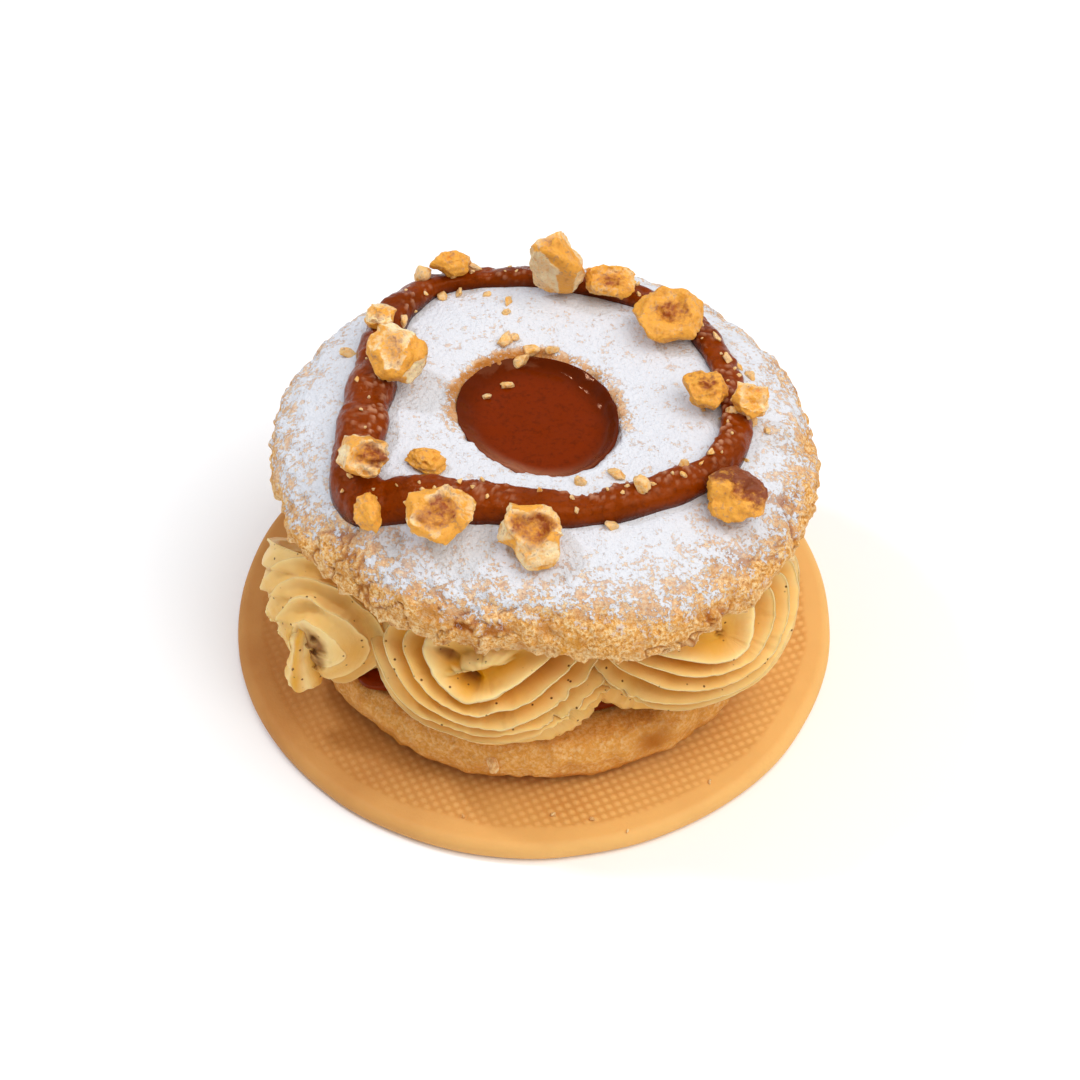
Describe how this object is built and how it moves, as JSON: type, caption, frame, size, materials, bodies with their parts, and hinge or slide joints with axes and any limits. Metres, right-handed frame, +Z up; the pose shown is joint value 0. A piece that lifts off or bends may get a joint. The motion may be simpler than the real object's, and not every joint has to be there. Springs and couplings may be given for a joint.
{
  "type": "paris-brest pastry",
  "caption": "Individual ring-shaped choux pastry filled with piped hazelnut cream, topped with praline and broken hazelnuts, on a round shortbread base.",
  "frame": {"origin": "centre of the shortbread base's underside", "axes": "+Z up, -Y towards the front of the pastry, +X to the right seen from the front"},
  "size_m": [0.085, 0.085, 0.0547],
  "materials": {
    "sable": "baked shortbread, matt, embossed with a fine woven mesh",
    "choux": "baked choux crust, matt and crumbly",
    "sugared_choux": "crackled golden choux dusted with icing sugar, matt",
    "cream": "piped butter cream, satin, with fine dark nut specks",
    "praline": "wet glossy nut praline with fine grit",
    "hazelnut": "roasted broken nut, satin, with toasted brown faces"
  },
  "bodies": {
    "root": {"sable_base": "sable", "choux_bottom": "choux", "praline_layer": "praline", "cream": "cream", "choux_top": "sugared_choux", "praline_pool": "praline", "praline_ring": "praline", "hazelnut_01": "hazelnut", "hazelnut_02": "hazelnut", "hazelnut_03": "hazelnut", "hazelnut_04": "hazelnut", "hazelnut_05": "hazelnut", "hazelnut_06": "hazelnut", "hazelnut_07": "hazelnut", "hazelnut_08": "hazelnut", "hazelnut_09": "hazelnut", "hazelnut_10": "hazelnut", "hazelnut_11": "hazelnut", "hazelnut_12": "hazelnut", "hazelnut_13": "hazelnut", "hazelnut_14": "hazelnut"}
  },
  "joints": []
}
